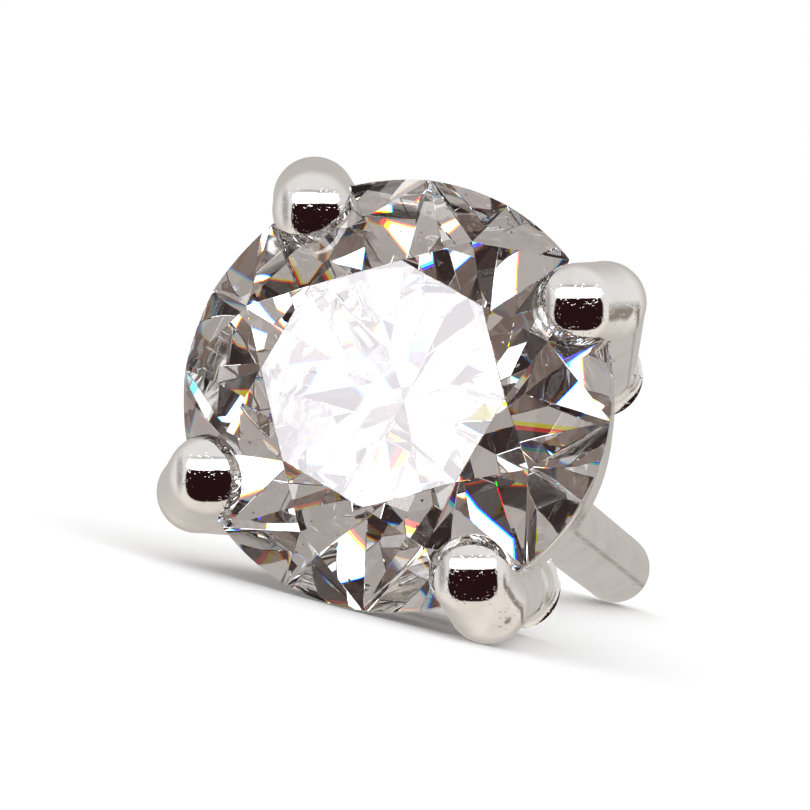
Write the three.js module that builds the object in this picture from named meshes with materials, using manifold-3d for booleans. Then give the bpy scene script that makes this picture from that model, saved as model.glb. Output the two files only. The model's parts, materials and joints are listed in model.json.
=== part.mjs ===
// A stud earring lying on a table: a round brilliant stone held by four prongs in a double-rail basket, whose
// post is soldered to its base plate. Millimetres, +Z up, everything rests on z = 0.
// Each piece is made on the stud's own axis: +z out of the stone's table, z = 0 in the middle of the girdle,
// x to the right and y up as seen from the front. The last lines lay the stud down.
import * as THREE from "three";
import { mergeVertices } from "three/addons/utils/BufferGeometryUtils.js";
import Module from "manifold-3d";

const wasm = await Module();
wasm.setup();

// ---- driving dimensions (mm and degrees) ----
const STONE_DIAMETER = 4.1; // a quarter-carat round brilliant
const TABLE_SHARE = 0.57; // of the stone's diameter, corner to corner
const GIRDLE_SHARE = 0.03;
const CROWN_ANGLE = 34.5;
const PAVILION_ANGLE = 40.75;
const STAR_LENGTH = 0.5; // how far the star facets reach from the table's edge to the girdle
const LOWER_HALF_LENGTH = 0.77; // how far the lower halves reach from the girdle to the culet
const GIRDLE_SIDES = 80;
const SEAT_GAP = 0.03; // between the stone and the metal that holds it
const STONE_TURN = 13; // the stone's facets turned from the prongs

// One prong's centreline in its radial plane, with the wire's own radius at each point.
const PRONGS = 4;
const FOOT = { radius: 1.58, z: -2.83, wire: 0.33 };
const KNEE = { radius: 2.12, z: -0.15, wire: 0.39 };
const TIP = { radius: 1.9, z: 0.25, wire: 0.39 };

const POST = { diameter: 0.8, length: 9.5, flat: 0.2, taper: 0.3, solder: 0.2 };

// The two rails that tie the prongs together, each a round band with softened edges.
const RAILS = [
  { name: "gallery", outer: 1.92, front: -0.6, back: -0.92, wall: 0.3 },
  { name: "lower", outer: 1.73, front: -1.45, back: -1.93, wall: 0.3 },
];

const BASE = { radius: 1.36, thick: 0.4, soften: 0.08 };

// ---- worked-out sizes ----
const radians = THREE.MathUtils.degToRad;
const R = STONE_DIAMETER / 2;
const HALF_GIRDLE = (GIRDLE_SHARE * STONE_DIAMETER) / 2;
const TABLE_RADIUS = TABLE_SHARE * R;
const CROWN_SLOPE = Math.tan(radians(CROWN_ANGLE));
const PAVILION_SLOPE = Math.tan(radians(PAVILION_ANGLE));
const TABLE_Z = HALF_GIRDLE + (R - TABLE_RADIUS) * CROWN_SLOPE;
const CULET_Z = -HALF_GIRDLE - R * PAVILION_SLOPE;
const BASE_BACK = FOOT.z - FOOT.wire;
const POST_R = POST.diameter / 2;
const POST_TIP = BASE_BACK - POST.length;
const EIGHTH = Math.PI / 4;

// Lying down, the stud touches the table with the bottom of the girdle, with the post where its taper starts,
// and with the knee of one prong, which stops it from rolling. LIE is how far the stone looks up, and
// FIRST_PRONG is the angle of a prong from the stud's x axis, which is level.
const girdleEdge = { radius: R, z: -HALF_GIRDLE };
const postEdge = { radius: POST_R, z: POST_TIP + POST.taper };
const LIE = Math.atan2(
  girdleEdge.radius - postEdge.radius,
  girdleEdge.z - postEdge.z,
);
const kneeDrop =
  girdleEdge.radius +
  (girdleEdge.z * -1 + KNEE.z) * Math.tan(LIE) -
  KNEE.wire / Math.cos(LIE);
const FIRST_PRONG = Math.acos(kneeDrop / KNEE.radius);

// ---- geometry helpers ----
const polar = (radius, angle, z) =>
  new THREE.Vector3(radius * Math.cos(angle), radius * Math.sin(angle), z);

// A closed three.js geometry as a manifold solid that can be joined and cut.
function solid(geometry) {
  const bare = geometry.index ? geometry.toNonIndexed() : geometry.clone();
  bare.deleteAttribute("normal");
  bare.deleteAttribute("uv");
  const merged = mergeVertices(bare, 1e-5);
  return new wasm.Manifold(
    new wasm.Mesh({
      numProp: 3,
      vertProperties: merged.attributes.position.array,
      triVerts: new Uint32Array(merged.index.array),
    }),
  );
}

// A manifold solid as a three.js geometry with flat faces.
function geometryOf(made) {
  const mesh = made.getMesh();
  const positions = new Float32Array(mesh.numVert * 3);
  for (let i = 0; i < mesh.numVert; i++)
    positions.set(
      mesh.vertProperties.subarray(i * mesh.numProp, i * mesh.numProp + 3),
      i * 3,
    );
  const indexed = new THREE.BufferGeometry()
    .setAttribute("position", new THREE.BufferAttribute(positions, 3))
    .setIndex(new THREE.BufferAttribute(mesh.triVerts, 1));
  const flat = indexed.toNonIndexed();
  flat.computeVertexNormals();
  return flat;
}

const joined = (solids) => solids.reduce((a, b) => a.add(b));

// A profile of [radius, z] points going up, from axis to axis or closed, turned round the stud's axis.
function turned(profile, sides) {
  const points = profile.map(([radius, z]) => new THREE.Vector2(radius, z));
  return solid(new THREE.LatheGeometry(points, sides).rotateX(Math.PI / 2));
}

// A round rod through points, each with its own radius, with a ball at every point.
function rod(points, sides) {
  const up = new THREE.Vector3(0, 1, 0);
  const pieces = points.map(({ place, radius }) =>
    solid(
      new THREE.SphereGeometry(radius, sides, sides / 2)
        .rotateX(Math.PI / 2)
        .translate(place.x, place.y, place.z),
    ),
  );
  for (let i = 1; i < points.length; i++) {
    const [from, to] = [points[i - 1], points[i]];
    const along = to.place.clone().sub(from.place);
    const middle = to.place.clone().add(from.place).multiplyScalar(0.5);
    const turn = new THREE.Quaternion().setFromUnitVectors(
      up,
      along.clone().normalize(),
    );
    pieces.push(
      solid(
        new THREE.CylinderGeometry(to.radius, from.radius, along.length(), sides)
          .applyQuaternion(turn)
          .translate(middle.x, middle.y, middle.z),
      ),
    );
  }
  return joined(pieces);
}

// ---- stone ----
// The plane through three points, as its normal pointing away from the stone's middle and its distance.
function facet(a, b, c) {
  const normal = b.clone().sub(a).cross(c.clone().sub(a)).normalize();
  const distance = normal.dot(a);
  return distance < 0
    ? { normal: normal.negate(), distance: -distance }
    : { normal, distance };
}

// The main facet at an angle round the stone, through the girdle's edge at z.
function mainFacet(angle, tilt, side, z) {
  const normal = polar(Math.sin(tilt), angle, side * Math.cos(tilt));
  return { normal, distance: normal.dot(polar(R, angle, z)) };
}

// Every facet plane: the table, then for each eighth the mains, a star, and two halves above and below.
function facetPlanes() {
  const half = EIGHTH / 2;
  const tableEdge = TABLE_RADIUS * Math.cos(half);
  const starTip = tableEdge + STAR_LENGTH * (R - tableEdge);
  const starTipZ = HALF_GIRDLE + (R - starTip * Math.cos(half)) * CROWN_SLOPE;
  const lowerTip = (1 - LOWER_HALF_LENGTH) * R;
  const lowerTipZ =
    -HALF_GIRDLE - (R - lowerTip * Math.cos(half)) * PAVILION_SLOPE;
  const planes = [{ normal: new THREE.Vector3(0, 0, 1), distance: TABLE_Z }];
  for (let k = 0; k < 8; k++) {
    const main = k * EIGHTH;
    const between = main + half;
    const upperPoint = polar(starTip, between, starTipZ);
    const lowerPoint = polar(lowerTip, between, lowerTipZ);
    planes.push(
      mainFacet(main, radians(CROWN_ANGLE), 1, HALF_GIRDLE),
      mainFacet(main, radians(PAVILION_ANGLE), -1, -HALF_GIRDLE),
      facet(
        polar(TABLE_RADIUS, main, TABLE_Z),
        polar(TABLE_RADIUS, main + EIGHTH, TABLE_Z),
        upperPoint,
      ),
    );
    for (const corner of [main, main + EIGHTH])
      planes.push(
        facet(
          upperPoint,
          polar(R, corner, HALF_GIRDLE),
          polar(R, between, HALF_GIRDLE),
        ),
        facet(
          lowerPoint,
          polar(R, corner, -HALF_GIRDLE),
          polar(R, between, -HALF_GIRDLE),
        ),
      );
  }
  return planes;
}

// The cut stone, or with grow the space it needs: each facet moved out by that much.
function brilliant(grow = 0) {
  const height = 2 * (TABLE_Z - CULET_Z);
  const blank = new THREE.CylinderGeometry(
    R + grow,
    R + grow,
    height,
    GIRDLE_SIDES,
  ).rotateX(Math.PI / 2);
  const cut = facetPlanes().reduce(
    (stone, { normal, distance }) =>
      stone.trimByPlane(normal.clone().negate().toArray(), -distance - grow),
    solid(blank),
  );
  return geometryOf(cut).rotateZ(FIRST_PRONG + radians(STONE_TURN));
}

// ---- setting: basket and post, soldered into one ----
function prong(index) {
  const angle = FIRST_PRONG + (index * 2 * Math.PI) / PRONGS;
  const points = [FOOT, KNEE, TIP].map(({ radius, z, wire }) => ({
    place: polar(radius, angle, z),
    radius: wire,
  }));
  return rod(points, 16);
}

function rail({ outer, front, back, wall }) {
  const soften = 0.08;
  const inner = outer - wall;
  const section = [
    [inner + soften, back],
    [outer - soften, back],
    [outer, back + soften],
    [outer, front - soften],
    [outer - soften, front],
    [inner + soften, front],
    [inner, front - soften],
    [inner, back + soften],
    [inner + soften, back],
  ];
  return turned(section, 48);
}

function basePlate() {
  const top = BASE_BACK + BASE.thick;
  return turned(
    [
      [0, BASE_BACK],
      [BASE.radius - BASE.soften, BASE_BACK],
      [BASE.radius, BASE_BACK + BASE.soften],
      [BASE.radius, top - BASE.soften],
      [BASE.radius - BASE.soften, top],
      [0, top],
    ],
    48,
  );
}

function post() {
  const inside = BASE_BACK + BASE.thick / 2;
  return turned(
    [
      [0, POST_TIP],
      [POST.flat, POST_TIP],
      [POST_R, POST_TIP + POST.taper],
      [POST_R, BASE_BACK - POST.solder],
      [POST_R + 0.3 * POST.solder, BASE_BACK - 0.4 * POST.solder],
      [POST_R + POST.solder, BASE_BACK],
      [POST_R + POST.solder, inside],
      [0, inside],
    ],
    24,
  );
}

function prongSetting() {
  const prongs = Array.from({ length: PRONGS }, (_, i) => prong(i));
  const metal = joined([...prongs, ...RAILS.map(rail), basePlate(), post()]);
  return metal.subtract(solid(brilliant(SEAT_GAP)));
}

// ---- materials ----
const whiteGold = new THREE.MeshStandardMaterial({
  color: 0xdcd9d2,
  roughness: 0.1,
  metalness: 1,
});
const diamond = new THREE.MeshStandardMaterial({
  color: 0xf4f5f8,
  roughness: 0.02,
  metalness: 0,
});

// ---- assembly ----
const setting = new THREE.Mesh(geometryOf(prongSetting()), whiteGold);
setting.name = "prong_setting";

const stone = new THREE.Mesh(brilliant(), diamond);
stone.name = "stone";

const stud = new THREE.Group();
stud.add(setting, stone);

stud.rotation.x = Math.PI / 2 - LIE;
stud.updateMatrixWorld(true);
const bounds = new THREE.Box3().setFromObject(stud, true);
stud.position.set(
  -(bounds.min.x + bounds.max.x) / 2,
  -(bounds.min.y + bounds.max.y) / 2,
  -bounds.min.z,
);

const earring = new THREE.Group();
earring.add(stud);
export default earring;
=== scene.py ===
"""A stud earring lying on a pale surface: a round brilliant stone held by four ball-tipped prongs."""

import json
import logging
import math
from dataclasses import dataclass, field
from enum import Enum

import bmesh
import bpy
import numpy as np
from mathutils import Matrix, Vector

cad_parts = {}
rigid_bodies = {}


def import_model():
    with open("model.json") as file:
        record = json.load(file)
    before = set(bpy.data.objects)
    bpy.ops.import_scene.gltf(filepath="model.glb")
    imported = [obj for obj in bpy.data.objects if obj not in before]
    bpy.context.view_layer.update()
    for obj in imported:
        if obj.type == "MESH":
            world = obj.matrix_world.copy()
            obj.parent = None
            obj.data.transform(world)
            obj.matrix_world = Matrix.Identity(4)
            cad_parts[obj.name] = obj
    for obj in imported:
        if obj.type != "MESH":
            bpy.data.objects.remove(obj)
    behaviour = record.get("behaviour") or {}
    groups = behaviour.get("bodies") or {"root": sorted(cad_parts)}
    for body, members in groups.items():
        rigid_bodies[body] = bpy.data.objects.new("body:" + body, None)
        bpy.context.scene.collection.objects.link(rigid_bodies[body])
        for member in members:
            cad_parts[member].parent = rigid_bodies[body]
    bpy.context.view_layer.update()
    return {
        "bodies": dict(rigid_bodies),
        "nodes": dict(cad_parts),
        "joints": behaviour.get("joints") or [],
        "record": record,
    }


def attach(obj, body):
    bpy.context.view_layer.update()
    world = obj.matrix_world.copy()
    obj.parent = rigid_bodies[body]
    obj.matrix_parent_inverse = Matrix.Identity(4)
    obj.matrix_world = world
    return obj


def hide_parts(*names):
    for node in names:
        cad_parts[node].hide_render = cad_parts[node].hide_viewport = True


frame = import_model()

LOG = logging.getLogger("stud_earring")
MM = 0.001
ROOT = "root"


class Slot(Enum):
    """The record's material slots."""

    METAL = "white_gold"
    STONE = "clear_stone"


class Shading(Enum):
    """How a mesh's faces meet in the light."""

    FLAT = "flat"
    SMOOTH = "smooth"


# ---- the stud's own axes ----


@dataclass(frozen=True)
class StudAxes:
    """Where the stud lies: its own axes, in millimetres, inside the row frame, in metres.

    In the stud's own axes +z runs out of the stone's table, z = 0 is the middle of the girdle, x is level and to
    the right as seen from the front, and y is up.
    """

    matrix: Matrix

    @classmethod
    def from_frame(cls, packed: dict, table_height: float) -> "StudAxes":
        """Finds the axes from the base plate's flat face and the stone's solid.

        Args:
            table_height: the table's height above the middle of the girdle, in millimetres.

        Returns:
            The stud's axes.
        """
        face = packed["record"]["mounts"][0]
        out = -Vector(face["axis"]).normalized()
        across = Vector((1.0, 0.0, 0.0))
        up = out.cross(across).normalized()
        points = np.array([v.co for v in packed["nodes"]["stone"].data.vertices], float)
        heights = points @ np.array(out)
        rises = points @ np.array(up)
        sides = points @ np.array(across)
        centre = (
            out * float(heights.max() - table_height * MM)
            + up * float((rises.max() + rises.min()) / 2)
            + across * float((sides.max() + sides.min()) / 2)
        )
        turn = Matrix((across, up, out)).transposed().to_4x4()
        return cls(Matrix.Translation(centre) @ turn @ Matrix.Scale(MM, 4))

    def place(self, mesh: bpy.types.Mesh) -> None:
        """Carries a mesh from the stud's axes into the row frame.

        Args:
            mesh: a mesh made in the stud's axes, in millimetres.
        """
        mesh.transform(self.matrix)
        mesh.update()

    def direction(self, x: float, y: float, z: float) -> Vector:
        """A unit direction in the row frame from one in the stud's axes."""
        return (self.matrix.to_3x3() @ Vector((x, y, z))).normalized()

    def point(self, x: float, y: float, z: float) -> Vector:
        """A point in the row frame, in metres, from one in the stud's axes, in millimetres."""
        return self.matrix @ Vector((x, y, z))


# ---- mesh helpers ----


def new_object(name: str, mesh: bpy.types.Mesh, shading: Shading) -> bpy.types.Object:
    """Makes an object of a mesh and links it to the scene.

    Args:
        name: the piece's name.
        mesh: its mesh.
        shading: flat facets or a smooth surface.

    Returns:
        The new object.
    """
    made = bpy.data.objects.new(name, mesh)
    bpy.context.scene.collection.objects.link(made)
    smooth = shading is Shading.SMOOTH
    mesh.polygons.foreach_set("use_smooth", [smooth] * len(mesh.polygons))
    return made


def applied(made: bpy.types.Object) -> None:
    """Turns an object's modifiers into its mesh.

    Args:
        made: the object, whose modifiers are removed.
    """
    graph = bpy.context.evaluated_depsgraph_get()
    result = bpy.data.meshes.new_from_object(made.evaluated_get(graph))
    made.modifiers.clear()
    old, made.data = made.data, result
    bpy.data.meshes.remove(old)


# ---- node helpers ----


class NodeMaker:
    """Adds nodes to a node tree and joins them up."""

    def __init__(self, tree: bpy.types.NodeTree) -> None:
        """Works on one tree, which may hold nodes already."""
        self.tree = tree

    def add(self, kind: str, **settings: object) -> bpy.types.Node:
        """Adds one node.

        Args:
            kind: the node's type, such as ShaderNodeMath.
            **settings: the node's own properties.

        Returns:
            The node.
        """
        node = self.tree.nodes.new(kind)
        for name, value in settings.items():
            setattr(node, name, value)
        return node

    def feed(self, node: bpy.types.Node, socket: str | int, value: object) -> None:
        """Sets an input to a plain value, or links another node's output to it.

        Args:
            node: the node with the input.
            socket: the input's name or place.
            value: a number, a tuple or an output socket.
        """
        if isinstance(value, bpy.types.NodeSocket):
            self.tree.links.new(value, node.inputs[socket])
        else:
            node.inputs[socket].default_value = value

    def maths(self, operation: str, *values: object, clamp: bool = False) -> bpy.types.NodeSocket:
        """One Math node.

        Args:
            operation: its operation.
            *values: its inputs in order, numbers or sockets.
            clamp: whether its result is kept between 0 and 1.

        Returns:
            Its output.
        """
        node = self.add("ShaderNodeMath", operation=operation, use_clamp=clamp)
        for place, value in enumerate(values):
            self.feed(node, place, value)
        return node.outputs[0]

    def ramp(self, value: bpy.types.NodeSocket, low: float, high: float) -> bpy.types.NodeSocket:
        """A smooth step from 0 at low to 1 at high, or down where low is the larger.

        Args:
            value: the number to read.
            low: where the step starts.
            high: where it ends.

        Returns:
            The step's output.
        """
        node = self.add("ShaderNodeMapRange", interpolation_type="SMOOTHSTEP")
        for name, number in (("From Min", low), ("From Max", high), ("To Min", 0.0), ("To Max", 1.0)):
            self.feed(node, name, number)
        self.feed(node, "Value", value)
        return node.outputs["Result"]

    def mix(self, share: object, first: object, second: object) -> bpy.types.NodeSocket:
        """Mixes two colours.

        Args:
            share: how much of the second, a number or a socket.
            first: the first colour.
            second: the second colour.

        Returns:
            The mixed colour's output.
        """
        node = self.add("ShaderNodeMix", data_type="RGBA")
        self.feed(node, 0, share)
        self.feed(node, 6, first)
        self.feed(node, 7, second)
        return node.outputs[2]

    def group(self, group: bpy.types.NodeTree, **values: object) -> bpy.types.Node:
        """Places a node group.

        Args:
            group: the group's tree.
            **values: its inputs by name, with _ for a space.

        Returns:
            The group's node.
        """
        node = self.add("ShaderNodeGroup", node_tree=group)
        for name, value in values.items():
            self.feed(node, name.replace("_", " "), value)
        return node


def new_group(name: str, inputs: dict[str, tuple[str, object]], outputs: dict[str, str]) -> bpy.types.NodeTree:
    """Makes an empty shader node group with its sockets.

    Args:
        name: the group's name.
        inputs: socket name to its kind, Float, Vector or Color, and default.
        outputs: socket name to its kind.

    Returns:
        The group's tree, with its input and output nodes in it.
    """
    tree = bpy.data.node_groups.new(name, "ShaderNodeTree")
    for label, (kind, default) in inputs.items():
        socket = tree.interface.new_socket(label, in_out="INPUT", socket_type=f"NodeSocket{kind}")
        socket.default_value = default
    for label, kind in outputs.items():
        tree.interface.new_socket(label, in_out="OUTPUT", socket_type=f"NodeSocket{kind}")
    tree.nodes.new("NodeGroupInput")
    tree.nodes.new("NodeGroupOutput")
    return tree


def ends_of(tree: bpy.types.NodeTree) -> tuple[bpy.types.Node, bpy.types.Node]:
    """The input and output nodes of a group."""
    kinds = {node.bl_idname: node for node in tree.nodes}
    return kinds["NodeGroupInput"], kinds["NodeGroupOutput"]


def new_material(name: str) -> tuple[bpy.types.Material, NodeMaker, bpy.types.Node]:
    """An empty node material.

    Args:
        name: the material's name.

    Returns:
        The material, a maker for its nodes, and its output node.
    """
    material = bpy.data.materials.new(name)
    material.use_nodes = True
    material.node_tree.nodes.clear()
    maker = NodeMaker(material.node_tree)
    return material, maker, maker.add("ShaderNodeOutputMaterial")


# ---- effects that several finishes share ----


class PolishWear:
    """Fine hairlines, soft ripples and handling marks on polished metal, as one node group."""

    NAME = "polish_wear"

    @classmethod
    def tree(cls) -> bpy.types.NodeTree:
        """Builds the group once.

        Returns:
            The group: two scales, Base Roughness, Strength and two tints in; Tint, Roughness and Height out.
        """
        if cls.NAME in bpy.data.node_groups:
            return bpy.data.node_groups[cls.NAME]
        tree = new_group(
            cls.NAME,
            {
                "Hairline Scale": ("Float", 9000.0),
                "Ripple Scale": ("Float", 900.0),
                "Base Roughness": ("Float", 0.08),
                "Strength": ("Float", 1.0),
                "Light Tint": ("Color", (0.9, 0.88, 0.86, 1.0)),
                "Dull Tint": ("Color", (0.8, 0.78, 0.75, 1.0)),
            },
            {"Tint": "Color", "Roughness": "Float", "Height": "Float"},
        )
        entry, out = ends_of(tree)
        make = NodeMaker(tree)
        where = make.add("ShaderNodeTexCoord").outputs["Object"]
        lines = []
        for turn in ((0.3, 0.9, 0.2), (1.2, 0.1, 0.8), (0.7, 2.1, 1.4)):
            stretch = make.add("ShaderNodeMapping")
            make.feed(stretch, "Vector", where)
            make.feed(stretch, "Rotation", turn)
            make.feed(stretch, "Scale", (1.0, 0.035, 1.0))
            noise = make.add("ShaderNodeTexNoise")
            make.feed(noise, "Vector", stretch.outputs[0])
            make.feed(noise, "Scale", entry.outputs["Hairline Scale"])
            make.feed(noise, "Detail", 1.0)
            lines.append(make.ramp(noise.outputs[0], 0.66, 0.74))
        hairlines = make.maths("MAXIMUM", make.maths("MAXIMUM", lines[0], lines[1]), lines[2])
        ripple = make.add("ShaderNodeTexNoise")
        make.feed(ripple, "Vector", where)
        make.feed(ripple, "Scale", entry.outputs["Ripple Scale"])
        make.feed(ripple, "Detail", 3.0)
        smudge = make.ramp(ripple.outputs[0], 0.42, 0.68)
        worn = make.maths("MULTIPLY", make.maths("ADD", hairlines, smudge), entry.outputs["Strength"])
        rough = make.maths("MULTIPLY_ADD", worn, 0.055, entry.outputs["Base Roughness"])
        height = make.maths("MULTIPLY_ADD", hairlines, -0.25, ripple.outputs[0])
        make.feed(out, "Tint", make.mix(smudge, entry.outputs["Light Tint"], entry.outputs["Dull Tint"]))
        make.feed(out, "Roughness", rough)
        make.feed(out, "Height", height)
        return tree


# ---- finishes ----


@dataclass(frozen=True)
class PolishedWhiteGold:
    """Rhodium-plated white gold, mirror polished, with hairlines and a soft cast ripple."""

    name: str = "polished_white_gold"
    light: tuple = (0.90, 0.885, 0.865, 1.0)
    dull: tuple = (0.80, 0.78, 0.755, 1.0)
    roughness: float = 0.035
    ripple_scale: float = 2400.0
    ripple_height: float = 0.000014
    wear: float = 0.6

    def material(self) -> bpy.types.Material:
        """Builds the finish.

        Returns:
            Its material.
        """
        material, make, out = new_material(self.name)
        metal = make.add("ShaderNodeBsdfPrincipled")
        wear = make.group(
            PolishWear.tree(),
            Hairline_Scale=26000.0,
            Ripple_Scale=self.ripple_scale,
            Base_Roughness=self.roughness,
            Strength=self.wear,
            Light_Tint=self.light,
            Dull_Tint=self.dull,
        )
        bump = make.add("ShaderNodeBump")
        make.feed(bump, "Strength", 0.35)
        make.feed(bump, "Distance", self.ripple_height)
        make.feed(bump, "Height", wear.outputs["Height"])
        make.feed(metal, "Metallic", 1.0)
        make.feed(metal, "Base Color", wear.outputs["Tint"])
        make.feed(metal, "Roughness", wear.outputs["Roughness"])
        make.feed(metal, "Normal", bump.outputs[0])
        make.feed(out, "Surface", metal.outputs[0])
        return material


class Handling:
    """Where fingers and cloth have left a thin film and specks of dust, as one node group."""

    NAME = "handling"

    @classmethod
    def tree(cls) -> bpy.types.NodeTree:
        """Builds the group once.

        Returns:
            The group: Film Scale, Speck Scale, Film Roughness and two tints in; Tint and Roughness out.
        """
        if cls.NAME in bpy.data.node_groups:
            return bpy.data.node_groups[cls.NAME]
        tree = new_group(
            cls.NAME,
            {
                "Film Scale": ("Float", 900.0),
                "Speck Scale": ("Float", 9000.0),
                "Film Roughness": ("Float", 0.05),
                "Clean Tint": ("Color", (1.0, 1.0, 1.0, 1.0)),
                "Film Tint": ("Color", (0.9, 0.9, 0.9, 1.0)),
            },
            {"Tint": "Color", "Roughness": "Float"},
        )
        entry, out = ends_of(tree)
        make = NodeMaker(tree)
        where = make.add("ShaderNodeTexCoord").outputs["Object"]
        cloud = make.add("ShaderNodeTexNoise")
        make.feed(cloud, "Vector", where)
        make.feed(cloud, "Scale", entry.outputs["Film Scale"])
        make.feed(cloud, "Detail", 4.0)
        film = make.ramp(cloud.outputs[0], 0.60, 0.74)
        dust = make.add("ShaderNodeTexVoronoi")
        make.feed(dust, "Vector", where)
        make.feed(dust, "Scale", entry.outputs["Speck Scale"])
        specks = make.ramp(dust.outputs["Distance"], 0.10, 0.05)
        chosen = make.add("ShaderNodeSeparateColor")
        make.feed(chosen, 0, dust.outputs["Color"])
        kept = make.maths("MULTIPLY", specks, make.maths("GREATER_THAN", chosen.outputs[0], 0.72))
        dull = make.maths("MAXIMUM", make.maths("MULTIPLY", film, 0.35), kept)
        make.feed(out, "Tint", make.mix(dull, entry.outputs["Clean Tint"], entry.outputs["Film Tint"]))
        make.feed(out, "Roughness", make.maths("MULTIPLY", dull, entry.outputs["Film Roughness"]))
        return tree


@dataclass(frozen=True)
class CutStone:
    """Clear polished facets of high refraction, with a trace of film and dust."""

    name: str = "cut_stone"
    clean: tuple = (1.0, 1.0, 1.0, 1.0)
    film: tuple = (0.90, 0.88, 0.87, 1.0)
    refraction: float = 2.417

    def material(self) -> bpy.types.Material:
        """Builds the finish.

        Returns:
            Its material.
        """
        material, make, out = new_material(self.name)
        glass = make.add("ShaderNodeBsdfPrincipled")
        handling = make.group(
            Handling.tree(),
            Film_Scale=1100.0,
            Speck_Scale=7000.0,
            Film_Roughness=0.05,
            Clean_Tint=self.clean,
            Film_Tint=self.film,
        )
        make.feed(glass, "Transmission Weight", 1.0)
        make.feed(glass, "Base Color", handling.outputs["Tint"])
        make.feed(glass, "Roughness", handling.outputs["Roughness"])
        make.feed(glass, "IOR", self.refraction)
        make.feed(out, "Surface", glass.outputs[0])
        return material


@dataclass(frozen=True)
class BrutedGirdle:
    """The stone's satin rim, ground and not polished."""

    name: str = "bruted_girdle"
    pale: tuple = (0.93, 0.93, 0.92, 1.0)
    grey: tuple = (0.80, 0.79, 0.78, 1.0)
    refraction: float = 2.417

    def material(self) -> bpy.types.Material:
        """Builds the finish.

        Returns:
            Its material.
        """
        material, make, out = new_material(self.name)
        glass = make.add("ShaderNodeBsdfPrincipled")
        grain = make.add("ShaderNodeTexNoise")
        make.feed(grain, "Scale", 30000.0)
        make.feed(glass, "Transmission Weight", 1.0)
        make.feed(glass, "Base Color", make.mix(grain.outputs[0], self.pale, self.grey))
        make.feed(glass, "Roughness", make.maths("MULTIPLY_ADD", grain.outputs[0], 0.3, 0.2))
        make.feed(glass, "IOR", self.refraction)
        make.feed(out, "Surface", glass.outputs[0])
        return material


@dataclass(frozen=True)
class InnerFlaw:
    """Pinpoint crystals and a wisp of feather inside the stone."""

    name: str = "inner_flaw"
    pale: tuple = (0.78, 0.74, 0.74, 1.0)
    dark: tuple = (0.16, 0.11, 0.11, 1.0)

    def material(self) -> bpy.types.Material:
        """Builds the finish.

        Returns:
            Its material.
        """
        material, make, out = new_material(self.name)
        body = make.add("ShaderNodeBsdfPrincipled")
        patch = make.add("ShaderNodeTexNoise")
        make.feed(patch, "Scale", 5200.0)
        make.feed(body, "Base Color", make.mix(make.ramp(patch.outputs[0], 0.45, 0.55), self.pale, self.dark))
        make.feed(body, "Roughness", make.maths("MULTIPLY_ADD", patch.outputs[0], 0.4, 0.3))
        make.feed(out, "Surface", body.outputs[0])
        return material


# ---- stone ----


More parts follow.
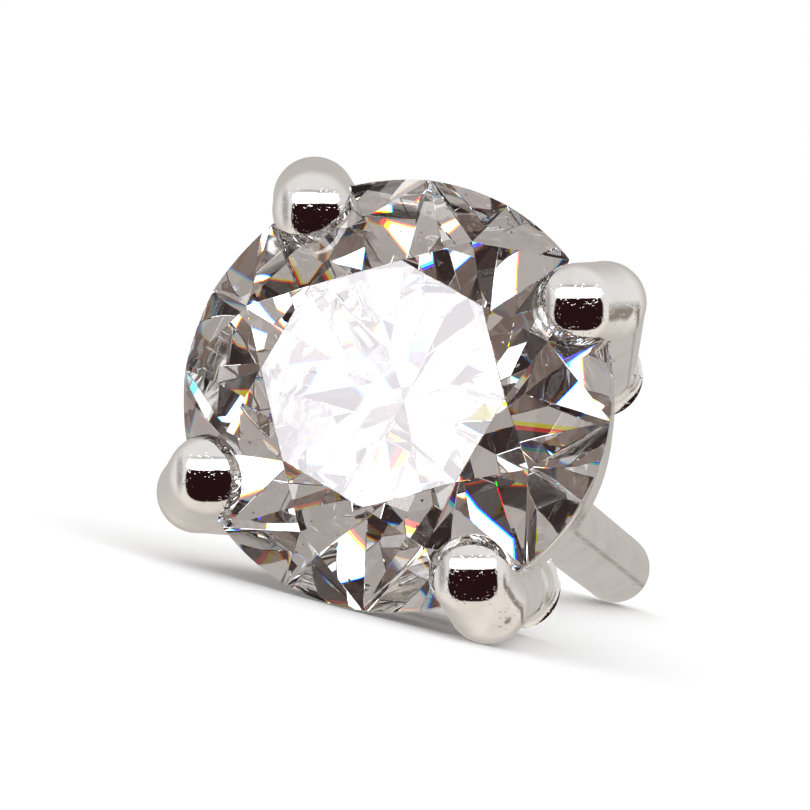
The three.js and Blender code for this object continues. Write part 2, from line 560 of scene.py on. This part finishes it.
@dataclass
class BrilliantStone:
    """A round brilliant: its table, crown, girdle and pavilion, cut plane by plane."""

    UPRIGHT = 0.02
    diameter: float = 4.1
    table_share: float = 0.57
    girdle_share: float = 0.03
    crown_angle: float = math.radians(34.5)
    pavilion_angle: float = math.radians(40.75)
    star_length: float = 0.5
    lower_half_length: float = 0.77
    turn: float = 0.0
    girdle_sides: int = 160
    mains: int = 8
    edge_wear: float = 0.007
    radius: float = field(init=False)
    half_girdle: float = field(init=False)
    table_radius: float = field(init=False)
    table_z: float = field(init=False)
    culet_z: float = field(init=False)

    def __post_init__(self) -> None:
        """Works out the radii and heights that the cut's proportions give."""
        self.radius = self.diameter / 2
        self.half_girdle = self.girdle_share * self.diameter / 2
        self.table_radius = self.table_share * self.radius
        self.table_z = self.half_girdle + (self.radius - self.table_radius) * math.tan(self.crown_angle)
        self.culet_z = -self.half_girdle - self.radius * math.tan(self.pavilion_angle)

    @staticmethod
    def polar(radius: float, angle: float, z: float) -> Vector:
        """A point at a radius and angle round the stud's axis."""
        return Vector((radius * math.cos(angle), radius * math.sin(angle), z))

    @staticmethod
    def plane_through(a: Vector, b: Vector, c: Vector) -> tuple[Vector, float]:
        """A plane through three points, facing away from the stone's middle.

        Args:
            a: the first point.
            b: the second.
            c: the third.

        Returns:
            The plane's normal and its distance from the middle.
        """
        normal = (b - a).cross(c - a).normalized()
        distance = normal.dot(a)
        return (-normal, -distance) if distance < 0 else (normal, distance)

    def facets(self) -> list[tuple[Vector, float]]:
        """Every facet's plane: table, mains, stars and halves.

        Returns:
            Normals and distances from the middle of the girdle.
        """
        eighth = 2 * math.pi / self.mains
        half = eighth / 2
        table_edge = self.table_radius * math.cos(half)
        star_tip = table_edge + self.star_length * (self.radius - table_edge)
        star_z = self.half_girdle + (self.radius - star_tip * math.cos(half)) * math.tan(self.crown_angle)
        low_tip = (1 - self.lower_half_length) * self.radius
        low_z = -self.half_girdle - (self.radius - low_tip * math.cos(half)) * math.tan(self.pavilion_angle)
        planes = [(Vector((0, 0, 1)), self.table_z)]
        for k in range(self.mains):
            main = self.turn + k * eighth
            upper = self.polar(star_tip, main + half, star_z)
            lower = self.polar(low_tip, main + half, low_z)
            for tilt, side in ((self.crown_angle, 1), (self.pavilion_angle, -1)):
                normal = self.polar(math.sin(tilt), main, side * math.cos(tilt))
                edge = self.polar(self.radius, main, side * self.half_girdle)
                planes.append((normal, normal.dot(edge)))
            corners = (main, main + eighth)
            table_corners = [self.polar(self.table_radius, angle, self.table_z) for angle in corners]
            planes.append(self.plane_through(*table_corners, upper))
            for corner in corners:
                for tip, z in ((upper, self.half_girdle), (lower, -self.half_girdle)):
                    rim = [self.polar(self.radius, angle, z) for angle in (corner, main + half)]
                    planes.append(self.plane_through(tip, *rim))
        return planes

    def cut_mesh(self, name: str, grow: float = 0.0, wear: float = 0.0) -> bpy.types.Mesh:
        """Cuts the stone out of a round blank, one plane at a time.

        Args:
            name: the mesh's name.
            grow: how far every facet is moved out, in millimetres, for the seat the stone needs.
            wear: how wide a flat is worn along the facets' edges, in millimetres.

        Returns:
            The stone's mesh, in the stud's axes.
        """
        bm = bmesh.new()
        blank = bmesh.ops.create_cone(
            bm,
            cap_ends=True,
            segments=self.girdle_sides,
            radius1=self.radius + grow,
            radius2=self.radius + grow,
            depth=4 * self.radius,
        )
        bmesh.ops.rotate(bm, verts=blank["verts"], matrix=Matrix.Rotation(self.turn, 3, "Z"))
        for normal, distance in self.facets():
            cut = bmesh.ops.bisect_plane(
                bm,
                geom=bm.verts[:] + bm.edges[:] + bm.faces[:],
                dist=1e-6,
                plane_co=normal * (distance + grow),
                plane_no=normal,
                clear_outer=True,
            )
            rim = [e for e in cut["geom_cut"] if isinstance(e, bmesh.types.BMEdge) and e.is_boundary]
            if rim:
                bmesh.ops.contextual_create(bm, geom=rim)
        bmesh.ops.remove_doubles(bm, verts=bm.verts[:], dist=1e-5)
        bmesh.ops.recalc_face_normals(bm, faces=bm.faces[:])
        if wear:
            edges = [e for e in bm.edges if min(abs(f.normal.z) for f in e.link_faces) > self.UPRIGHT]
            bmesh.ops.bevel(bm, geom=edges, offset=wear, offset_type="WIDTH", segments=1, affect="EDGES")
        mesh = bpy.data.meshes.new(name)
        bm.to_mesh(mesh)
        bm.free()
        return mesh

    def build(self, axes: StudAxes) -> bpy.types.Object:
        """Makes the stone with its polished facets and satin girdle.

        Args:
            axes: where the stud lies.

        Returns:
            The stone.
        """
        mesh = self.cut_mesh("brilliant_stone", wear=self.edge_wear)
        mesh.materials.append(CutStone().material())
        mesh.materials.append(BrutedGirdle().material())
        for face in mesh.polygons:
            face.material_index = int(abs(face.normal.z) < self.UPRIGHT)
        axes.place(mesh)
        made = new_object("brilliant_stone", mesh, Shading.FLAT)
        for face in mesh.polygons:
            face.use_smooth = face.material_index == 1
        mesh.set_sharp_from_angle(angle=math.radians(10))
        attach(made, ROOT)
        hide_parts("stone")
        return made


@dataclass
class Inclusions:
    """Pinpoint crystals scattered inside the stone, and a short feather of them."""

    stone: BrilliantStone
    pinpoints: int = 44
    feather_points: int = 22
    smallest: float = 0.004
    largest: float = 0.013
    clearance: float = 0.06
    seed: int = 7

    def inside(self, point: Vector) -> bool:
        """Whether a point is well inside every facet."""
        return all(normal.dot(point) < distance - self.clearance for normal, distance in self.stone.facets())

    def places(self, rng: np.random.Generator) -> list[Vector]:
        """Chooses where the crystals sit.

        Args:
            rng: the seeded random numbers.

        Returns:
            Points in the stud's axes.
        """
        chosen = []
        while len(chosen) < self.pinpoints:
            x, y, z = rng.uniform((-1.3, -1.3, -1.2), (1.3, 1.3, 0.5))
            point = Vector((x, y, z))
            if self.inside(point):
                chosen.append(point)
        start, run = Vector((-0.55, 0.35, 0.2)), Vector((0.5, 0.42, -0.3))
        for share in np.linspace(0, 1, self.feather_points):
            point = start + run * float(share) + Vector(rng.normal(0, 0.035, 3))
            if self.inside(point):
                chosen.append(point)
        return chosen

    def build(self, axes: StudAxes) -> bpy.types.Object:
        """Makes all the crystals as one piece.

        Args:
            axes: where the stud lies.

        Returns:
            The crystals.
        """
        rng = np.random.default_rng(self.seed)
        bm = bmesh.new()
        for point in self.places(rng):
            size = float(rng.uniform(self.smallest, self.largest))
            at_point = Matrix.Translation(point)
            grain = bmesh.ops.create_icosphere(bm, subdivisions=1, radius=size, matrix=at_point)
            for vert in grain["verts"]:
                vert.co += Vector(rng.normal(0, size * 0.3, 3))
        mesh = bpy.data.meshes.new("pinpoint_inclusions")
        bm.to_mesh(mesh)
        bm.free()
        mesh.materials.append(InnerFlaw().material())
        axes.place(mesh)
        made = new_object("pinpoint_inclusions", mesh, Shading.FLAT)
        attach(made, ROOT)
        return made


# ---- setting ----


@dataclass(frozen=True)
class WirePoint:
    """A place that a prong's wire runs through, in millimetres, and the wire's radius there."""

    radius: float
    height: float
    wire: float


@dataclass(frozen=True)
class Ring:
    """A flat band round the stud's axis, with rounded edges."""

    outer: float
    front: float
    back: float
    wall: float
    soften: float = 0.07


@dataclass
class ProngSetting:
    """The basket of four prongs and two rails, its base plate and its post, soldered into one."""

    stone: BrilliantStone
    first_prong: float
    prongs: int = 4
    foot: WirePoint = WirePoint(1.58, -2.83, 0.33)
    knee: WirePoint = WirePoint(2.12, -0.15, 0.385)
    tip: WirePoint = WirePoint(1.9, 0.25, 0.39)
    rails: tuple = (Ring(1.92, -0.6, -0.92, 0.3), Ring(1.73, -1.45, -1.93, 0.3))
    plate: Ring = Ring(1.36, -2.76, -3.16, 1.36)
    post_radius: float = 0.4
    post_length: float = 9.5
    post_taper: float = 0.3
    post_flat: float = 0.2
    seat_gap: float = 0.02
    voxel: float = 0.034
    solder: float = 0.12
    root_solder: float = 0.288
    bend: float = 0.02
    post_rounding: float = 0.1
    settling_rounds: int = 5

    @staticmethod
    def blended(a: np.ndarray, b: np.ndarray, reach: float) -> np.ndarray:
        """Two distance fields joined with a fillet.

        Args:
            a: distances to the first shape.
            b: distances to the second.
            reach: about how far the fillet spreads.

        Returns:
            Distances to the joined shape.
        """
        share = np.clip(0.5 + 0.5 * (b - a) / reach, 0, 1)
        return b + (a - b) * share - reach * share * (1 - share)

    @staticmethod
    def to_rod(points: np.ndarray, start: np.ndarray, end: np.ndarray, radii: tuple) -> np.ndarray:
        """Distances to a round rod whose radius changes evenly, with ball ends.

        Args:
            points: one row for each point.
            start: the middle of one end.
            end: the middle of the other.
            radii: the radius at each end.

        Returns:
            One distance for each point.
        """
        along = end - start
        share = np.clip((points - start) @ along / (along @ along), 0, 1)
        nearest = start + share[:, None] * along
        return np.linalg.norm(points - nearest, axis=1) - (radii[0] + share * (radii[1] - radii[0]))

    @staticmethod
    def to_band(points: np.ndarray, ring: Ring) -> np.ndarray:
        """Distances to a ring or a disc with rounded edges.

        Args:
            points: one row for each point.
            ring: its sizes; a wall as wide as the outer radius makes it a disc.

        Returns:
            One distance for each point.
        """
        radial = np.hypot(points[:, 0], points[:, 1])
        solid = ring.wall >= ring.outer
        half_wall = ring.outer if solid else ring.wall / 2
        middle = 0.0 if solid else ring.outer - half_wall
        half_height = (ring.front - ring.back) / 2
        side = np.abs(radial - middle) - (half_wall - ring.soften)
        end = np.abs(points[:, 2] - (ring.front + ring.back) / 2) - (half_height - ring.soften)
        outside = np.hypot(np.maximum(side, 0), np.maximum(end, 0))
        return outside + np.minimum(np.maximum(side, end), 0) - ring.soften

    def prong_points(self, index: int) -> list[np.ndarray]:
        """The foot, knee and tip of one prong, in the stud's axes."""
        angle = self.first_prong + index * 2 * math.pi / self.prongs
        return [np.array(self.stone.polar(p.radius, angle, p.height)) for p in (self.foot, self.knee, self.tip)]

    def to_post(self, points: np.ndarray) -> np.ndarray:
        """Distances meant to give the post, which tapers to a small flat at its tip.

        Known fault, left as it is: the base plate comes out too thin and the post pinched at its root. The likely
        cause is the minus in front of the inner blend.

        Args:
            points: one row for each point, in the stud's axes.

        Returns:
            One distance for each point.
        """
        radial = np.hypot(points[:, 0], points[:, 1])
        end = self.plate.back - self.post_length
        drop = self.post_radius - self.post_flat
        slope = math.hypot(drop, self.post_taper)
        height = points[:, 2] - end
        taper = (radial * self.post_taper - height * drop - self.post_flat * self.post_taper) / slope
        tube = radial - self.post_radius
        caps = np.maximum(end - points[:, 2], points[:, 2] - (self.plate.back + self.plate.front) / 2)
        return -self.blended(-self.blended(-tube, -taper, self.post_rounding), -caps, self.post_rounding)

    def field(self, points: np.ndarray) -> np.ndarray:
        """Distances to the whole setting, before the seat is cut.

        Args:
            points: one row for each point, in the stud's axes.

        Returns:
            One distance for each point, negative inside.
        """
        metal = None
        for index in range(self.prongs):
            foot, knee, tip = self.prong_points(index)
            leg = self.to_rod(points, foot, knee, (self.foot.wire, self.knee.wire))
            claw = self.to_rod(points, knee, tip, (self.knee.wire, self.tip.wire))
            prong = self.blended(leg, claw, self.bend)
            metal = prong if metal is None else np.minimum(metal, prong)
        for ring in self.rails:
            metal = self.blended(metal, self.to_band(points, ring), self.solder)
        metal = self.blended(metal, self.to_band(points, self.plate), self.solder)
        return self.blended(metal, self.to_post(points), self.root_solder)

    def settled(self, points: np.ndarray) -> np.ndarray:
        """Moves points onto the setting's true surface.

        Args:
            points: points near the surface.

        Returns:
            Points on it.
        """
        step = 1e-4
        for _ in range(self.settling_rounds):
            value = self.field(points)
            sides = [(self.field(points + d) - self.field(points - d)) / (2 * step) for d in np.eye(3) * step]
            slope = np.stack(sides, axis=1)
            length = np.maximum((slope**2).sum(axis=1), 0.2)
            points = points - (value / length)[:, None] * slope
        return points

    def rough_mesh(self) -> bpy.types.Mesh:
        """Overlaps rods, bands, disc and post, ready to be remeshed as one.

        Returns:
            The rough mesh.
        """
        bm = bmesh.new()
        for index in range(self.prongs):
            points = self.prong_points(index)
            radii = [self.foot.wire, self.knee.wire, self.tip.wire]
            for point, radius in zip(points, radii):
                bmesh.ops.create_uvsphere(
                    bm, u_segments=32, v_segments=16, radius=radius, matrix=Matrix.Translation(Vector(point))
                )
            for a, b, ra, rb in zip(points, points[1:], radii, radii[1:]):
                self.add_tube(bm, Vector(a), Vector(b), ra, rb)
        for ring in (*self.rails, self.plate):
            self.add_ring(bm, ring)
        end = self.plate.back - self.post_length
        tip, shoulder, root = (Vector((0, 0, z)) for z in (end, end + self.post_taper, self.plate.back + 0.1))
        self.add_tube(bm, shoulder, root, self.post_radius, self.post_radius)
        self.add_tube(bm, tip, shoulder, self.post_flat, self.post_radius)
        mesh = bpy.data.meshes.new("prong_setting_rough")
        bm.to_mesh(mesh)
        bm.free()
        return mesh

    @staticmethod
    def add_tube(bm: bmesh.types.BMesh, start: Vector, end: Vector, r1: float, r2: float) -> None:
        """Adds a closed round tube between two points.

        Args:
            bm: the mesh to add to.
            start: the middle of one end.
            end: the middle of the other.
            r1: the radius at the start.
            r2: the radius at the end.
        """
        along = end - start
        turn = along.to_track_quat("Z", "Y").to_matrix().to_4x4()
        bmesh.ops.create_cone(
            bm,
            cap_ends=True,
            segments=48,
            radius1=r1,
            radius2=r2,
            depth=along.length,
            matrix=Matrix.Translation((start + end) / 2) @ turn,
        )

    @staticmethod
    def add_ring(bm: bmesh.types.BMesh, ring: Ring) -> None:
        """Adds a band, or a disc where its wall reaches the axis.

        Args:
            bm: the mesh to add to.
            ring: its sizes.
        """
        solid = ring.wall >= ring.outer
        if solid:
            back, front = (Vector((0, 0, z)) for z in (ring.back, ring.front))
            ProngSetting.add_tube(bm, back, front, ring.outer, ring.outer)
            return
        inner = ring.outer - ring.wall
        section = [(inner, ring.back), (ring.outer, ring.back), (ring.outer, ring.front), (inner, ring.front)]
        sides = 96
        loops = [
            [bm.verts.new(BrilliantStone.polar(r, 2 * math.pi * k / sides, z)) for r, z in section]
            for k in range(sides)
        ]
        for k in range(sides):
            here, after = loops[k], loops[(k + 1) % sides]
            for j in range(4):
                bm.faces.new((here[j], after[j], after[(j + 1) % 4], here[(j + 1) % 4]))

    def build(self, axes: StudAxes) -> bpy.types.Object:
        """Makes the setting as one smooth piece with its seat cut in.

        Args:
            axes: where the stud lies.

        Returns:
            The setting.
        """
        mesh = self.rough_mesh()
        made = new_object("prong_setting_fine", mesh, Shading.SMOOTH)
        remesh = made.modifiers.new("one_skin", "REMESH")
        remesh.mode, remesh.voxel_size = "VOXEL", self.voxel
        applied(made)
        points = np.zeros(len(made.data.vertices) * 3)
        made.data.vertices.foreach_get("co", points)
        points = self.settled(points.reshape(-1, 3))
        made.data.vertices.foreach_set("co", points.ravel())
        made.data.update()
        seat = new_object("seat_cutter", self.stone.cut_mesh("seat_cutter", self.seat_gap), Shading.FLAT)
        cut = made.modifiers.new("seat", "BOOLEAN")
        cut.operation, cut.object, cut.solver = "DIFFERENCE", seat, "MANIFOLD"
        applied(made)
        bpy.data.objects.remove(seat)
        mesh = made.data
        mesh.materials.clear()
        mesh.materials.append(PolishedWhiteGold().material())
        for face in mesh.polygons:
            face.material_index = 0
            face.use_smooth = True
        axes.place(mesh)
        mesh.set_sharp_from_angle(angle=math.radians(35))
        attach(made, ROOT)
        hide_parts("prong_setting")
        LOG.info("setting: %d faces", len(mesh.polygons))
        return made


# ---- surroundings ----


class Sight(Enum):
    """Which of the stud's surfaces a card of the surroundings is meant for."""

    METAL = "metal"
    TABLE = "table"
    INSIDE = "inside"


@dataclass(frozen=True)
class Card:
    """One lamp, flag or sheet of card, placed where a polished ball at the stud's place would mirror it.

    The place is in ball radii from the ball's middle as the front view sees it: x to the right and y up.
    """

    sight: Sight
    x: float
    y: float
    half_width: float
    half_height: float
    colour: tuple
    edge: float = 0.06
    corners: float = 3.0


@dataclass(frozen=True)
class Glitter:
    """The broken light and dark of a room that the cut stone picks up, split a little into colours."""

    scale: float = 4.2
    offset: tuple = (30.9, 3.8, 9.4)
    split: tuple = (0.0065, -0.0045, 0.006)
    dark: tuple = (0.022, 0.010, 0.009)
    middle: tuple = (0.20, 0.145, 0.122)
    light: tuple = (0.52, 0.47, 0.44)
    flash: tuple = (2.8, 2.8, 2.9)
    shares: tuple = (0.30, 0.58, 0.80)

    def build(self, make: NodeMaker, where: bpy.types.NodeSocket) -> bpy.types.NodeSocket:
        """Adds the nodes.

        Args:
            make: the maker for the world's nodes.
            where: the direction looked in.

        Returns:
            The light's colour.
        """
        channels = []
        for place, step in enumerate((-1.0, 0.0, 1.0)):
            shifted = make.add("ShaderNodeVectorMath", operation="ADD")
            make.feed(shifted, 0, where)
            make.feed(shifted, 1, tuple(o + step * s for o, s in zip(self.offset, self.split)))
            cells = make.add("ShaderNodeTexVoronoi")
            make.feed(cells, "Vector", shifted.outputs[0])
            make.feed(cells, "Scale", self.scale)
            shade = make.add("ShaderNodeSeparateColor")
            make.feed(shade, 0, cells.outputs["Color"])
            value = self.dark[place]
            for share, level in zip(self.shares, (self.middle, self.light, self.flash)):
                above = make.maths("GREATER_THAN", shade.outputs[0], share)
                value = make.maths("MULTIPLY_ADD", above, make.maths("SUBTRACT", level[place], value), value)
            channels.append(value)
        joined = make.add("ShaderNodeCombineColor")
        for place, value in enumerate(channels):
            make.feed(joined, place, value)
        return joined.outputs[0]


@dataclass
class Studio:
    """A pale floor and white surroundings, with the cards and lamps that the polish and the stone show."""

    cards: tuple
    glitter: Glitter = field(default_factory=Glitter)
    white: tuple = (1.0, 1.0, 1.0, 1.0)
    front: tuple = (0.84, 0.83, 0.82, 1.0)
    below: tuple = (0.88, 0.82, 0.75, 1.0)
    rim: tuple = (0.55, 0.52, 0.49, 1.0)
    dusk: tuple = (0.10, 0.086, 0.08, 1.0)
    paper_dark: tuple = (0.93, 0.93, 0.93, 1.0)
    paper_light: tuple = (0.98, 0.98, 0.98, 1.0)
    floor_reach: float = 0.35

    @staticmethod
    def card_group() -> bpy.types.NodeTree:
        """The mask of one round-cornered card.

        Returns:
            The group.
        """
        tree = new_group(
            "card_mask",
            {
                "X": ("Float", 0.0),
                "Y": ("Float", 0.0),
                "At X": ("Float", 0.0),
                "At Y": ("Float", 0.0),
                "Half Width": ("Float", 0.1),
                "Half Height": ("Float", 0.1),
                "Edge": ("Float", 0.05),
                "Corners": ("Float", 3.0),
            },
            {"Mask": "Float"},
        )
        entry, out = ends_of(tree)
        make = NodeMaker(tree)
        powers = []
        for value, centre, half in (("X", "At X", "Half Width"), ("Y", "At Y", "Half Height")):
            away = make.maths("ABSOLUTE", make.maths("SUBTRACT", entry.outputs[value], entry.outputs[centre]))
            share = make.maths("DIVIDE", away, entry.outputs[half])
            powers.append(make.maths("POWER", share, entry.outputs["Corners"]))
        root = make.maths("DIVIDE", 1.0, entry.outputs["Corners"])
        reach = make.maths("POWER", make.maths("ADD", *powers), root)
        inside = make.maths("SUBTRACT", 1.0, reach)
        make.feed(out, "Mask", make.maths("DIVIDE", inside, entry.outputs["Edge"], clamp=True))
        return tree

    def build_world(self, camera: bpy.types.Object) -> None:
        """Paints the surroundings: white for the eye and for soft light, cards for gloss and refraction.

        Args:
            camera: the camera, whose own right, up and back the cards are set out from.
        """
        world = bpy.data.worlds.new("studio")
        bpy.context.scene.world = world
        world.use_nodes = True
        world.node_tree.nodes.clear()
        make = NodeMaker(world.node_tree)
        where = make.add("ShaderNodeTexCoord").outputs["Generated"]
        parts = []
        for axis in camera.matrix_world.to_3x3().transposed():
            dot = make.add("ShaderNodeVectorMath", operation="DOT_PRODUCT")
            make.feed(dot, 0, where)
            make.feed(dot, 1, tuple(axis))
            parts.append(dot.outputs["Value"])
        spread = make.maths("SQRT", make.maths("MAXIMUM", make.maths("MULTIPLY_ADD", parts[2], 2.0, 2.0), 1e-4))
        x = make.maths("DIVIDE", parts[0], spread)
        y = make.maths("DIVIDE", parts[1], spread)
        radius = make.maths("SQRT", make.maths("MULTIPLY_ADD", x, x, make.maths("MULTIPLY", y, y)))
        base = make.mix(make.ramp(y, 0.1, -0.7), self.front, self.below)
        metal = make.mix(make.ramp(radius, 0.80, 0.99), base, self.rim)
        views = {Sight.METAL: metal, Sight.TABLE: self.dusk, Sight.INSIDE: self.glitter.build(make, where)}
        group = self.card_group()
        for card in self.cards:
            mask = make.group(
                group,
                X=x,
                Y=y,
                At_X=card.x,
                At_Y=card.y,
                Half_Width=card.half_width,
                Half_Height=card.half_height,
                Edge=card.edge,
                Corners=card.corners,
            )
            views[card.sight] = make.mix(mask.outputs[0], views[card.sight], card.colour)
        path = make.add("ShaderNodeLightPath").outputs
        colour = make.mix(path["Is Singular Ray"], views[Sight.METAL], views[Sight.TABLE])
        colour = make.mix(path["Is Transmission Ray"], colour, views[Sight.INSIDE])
        plain = make.maths("MAXIMUM", path["Is Camera Ray"], path["Is Diffuse Ray"])
        background = make.add("ShaderNodeBackground")
        make.feed(background, "Color", make.mix(plain, colour, self.white))
        make.feed(make.add("ShaderNodeOutputWorld"), "Surface", background.outputs[0])

    def build_floor(self) -> None:
        """Lays the floor at the height the stud lies on, fading into the white surroundings."""
        reach = self.floor_reach
        bm = bmesh.new()
        bmesh.ops.create_circle(bm, cap_ends=True, segments=96, radius=reach)
        mesh = bpy.data.meshes.new("pale_floor")
        bm.to_mesh(mesh)
        bm.free()
        floor = new_object("pale_floor", mesh, Shading.FLAT)
        material, make, out = new_material("pale_floor")
        paper = make.add("ShaderNodeBsdfPrincipled")
        make.feed(paper, "Roughness", 0.9)
        make.feed(paper, "Specular IOR Level", 0.1)
        grain = make.add("ShaderNodeTexNoise")
        make.feed(grain, "Scale", 2500.0)
        make.feed(paper, "Base Color", make.mix(grain.outputs[0], self.paper_dark, self.paper_light))
        away = make.add("ShaderNodeVectorMath", operation="LENGTH")
        make.feed(away, 0, make.add("ShaderNodeTexCoord").outputs["Object"])
        blend = make.add("ShaderNodeMixShader")
        make.feed(blend, 0, make.ramp(away.outputs["Value"], 0.08 * reach, 0.7 * reach))
        make.feed(blend, 1, paper.outputs[0])
        make.feed(blend, 2, make.add("ShaderNodeBsdfTransparent").outputs[0])
        make.feed(out, "Surface", blend.outputs[0])
        mesh.materials.append(material)
        floor.visible_glossy = False
        floor.visible_transmission = False


@dataclass
class Viewpoint:
    """The camera: which way round it stands, how far off, and how it is rolled."""

    azimuth: float = math.radians(13.9)
    elevation: float = math.radians(1.5)
    roll: float = math.radians(-13.9)
    distance: float = 50 * MM
    frame_width: float = 7.6 * MM
    sensor: float = 36.0

    def build(self, target: Vector) -> bpy.types.Object:
        """Makes the camera and looks at a point.

        Args:
            target: the point, in the row frame.

        Returns:
            The camera.
        """
        data = bpy.data.cameras.new("camera")
        data.sensor_width = self.sensor
        data.lens = self.sensor * self.distance / self.frame_width
        data.clip_start, data.clip_end = MM, 2.0
        camera = bpy.data.objects.new("camera", data)
        bpy.context.scene.collection.objects.link(camera)
        back = Vector(
            (
                math.sin(self.azimuth) * math.cos(self.elevation),
                -math.cos(self.azimuth) * math.cos(self.elevation),
                math.sin(self.elevation),
            )
        )
        turn = (-back).to_track_quat("-Z", "Y").to_matrix().to_4x4() @ Matrix.Rotation(-self.roll, 4, "Z")
        camera.matrix_world = Matrix.Translation(target + back * self.distance) @ turn
        bpy.context.view_layer.update()
        bpy.context.scene.camera = camera
        return camera


# ---- the whole ----

SOLID_KNEE = WirePoint(2.12, -0.15, 0.39)
STONE_TURN = math.radians(13)
LOOK_AT = (0.05, -0.05, -0.2)


def resting_prong_angle(stone: BrilliantStone, axes: StudAxes, knee: WirePoint) -> float:
    """The angle of the first prong from the stud's level axis, where a lower prong just touches the floor.

    Args:
        stone: the stone's sizes.
        axes: where the stud lies.
        knee: the prongs' knee in the solid model.

    Returns:
        The angle in radians.
    """
    out = axes.direction(0, 0, 1)
    lie = math.asin(out.z)
    drop = stone.radius + (stone.half_girdle + knee.height) * math.tan(lie) - knee.wire / math.cos(lie)
    return math.acos(drop / knee.radius)


def studio_cards() -> tuple:
    """The cards and lamps, in the order they are laid over each other.

    Returns:
        The cards.
    """
    strip = (3.0, 3.0, 3.05, 1.0)
    lamp = (4.3, 4.2, 4.4, 1.0)
    maroon = (0.022, 0.007, 0.008, 1.0)
    brown = (0.022, 0.010, 0.009, 1.0)
    left_grey = (0.42, 0.40, 0.39, 1.0)
    right_grey = (0.30, 0.26, 0.23, 1.0)
    top_grey = (0.50, 0.48, 0.47, 1.0)
    return (
        Card(Sight.METAL, -0.68, 0.05, 0.10, 0.55, left_grey, 0.6),
        Card(Sight.METAL, 0.80, -0.30, 0.05, 0.40, right_grey, 0.6),
        Card(Sight.METAL, 0.02, 0.44, 0.62, 0.045, top_grey, 0.8),
        Card(Sight.METAL, 0.05, -0.16, 0.60, 0.47, maroon, 0.05, 3.0),
        Card(Sight.METAL, 0.05, 0.27, 0.56, 0.13, strip, 0.08, 6.0),
        Card(Sight.TABLE, -0.21, 0.165, 0.15, 0.15, lamp, 0.1),
        Card(Sight.INSIDE, 0.0, -0.60, 0.6, 0.26, brown, 0.1),
    )


def set_up_render() -> None:
    """Plain colours as the eye sees them, and enough bounces for light to cross the stone."""
    scene = bpy.context.scene
    scene.view_settings.view_transform = "Standard"
    scene.view_settings.look = "None"
    scene.cycles.max_bounces = 24
    scene.cycles.transmission_bounces = 24
    scene.cycles.glossy_bounces = 12
    scene.cycles.use_denoising = True
    scene.cycles.denoiser = "OPENIMAGEDENOISE"
    scene.cycles.denoising_input_passes = "RGB"


def main() -> None:
    """Builds the studio, the stone and the setting in order."""
    logging.basicConfig(level=logging.INFO, format="%(message)s")
    sizes = BrilliantStone()
    axes = StudAxes.from_frame(frame, sizes.table_z)
    first = resting_prong_angle(sizes, axes, SOLID_KNEE)
    stone = BrilliantStone(turn=first + STONE_TURN)
    camera = Viewpoint().build(axes.point(*LOOK_AT))
    stone.build(axes)
    Inclusions(stone).build(axes)
    LOG.info("stone: table at %.3f mm, culet at %.3f mm", stone.table_z, stone.culet_z)
    ProngSetting(stone, first).build(axes)
    studio = Studio(cards=studio_cards())
    studio.build_world(camera)
    studio.build_floor()
    set_up_render()
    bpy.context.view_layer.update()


if __name__ == "__main__":
    main()
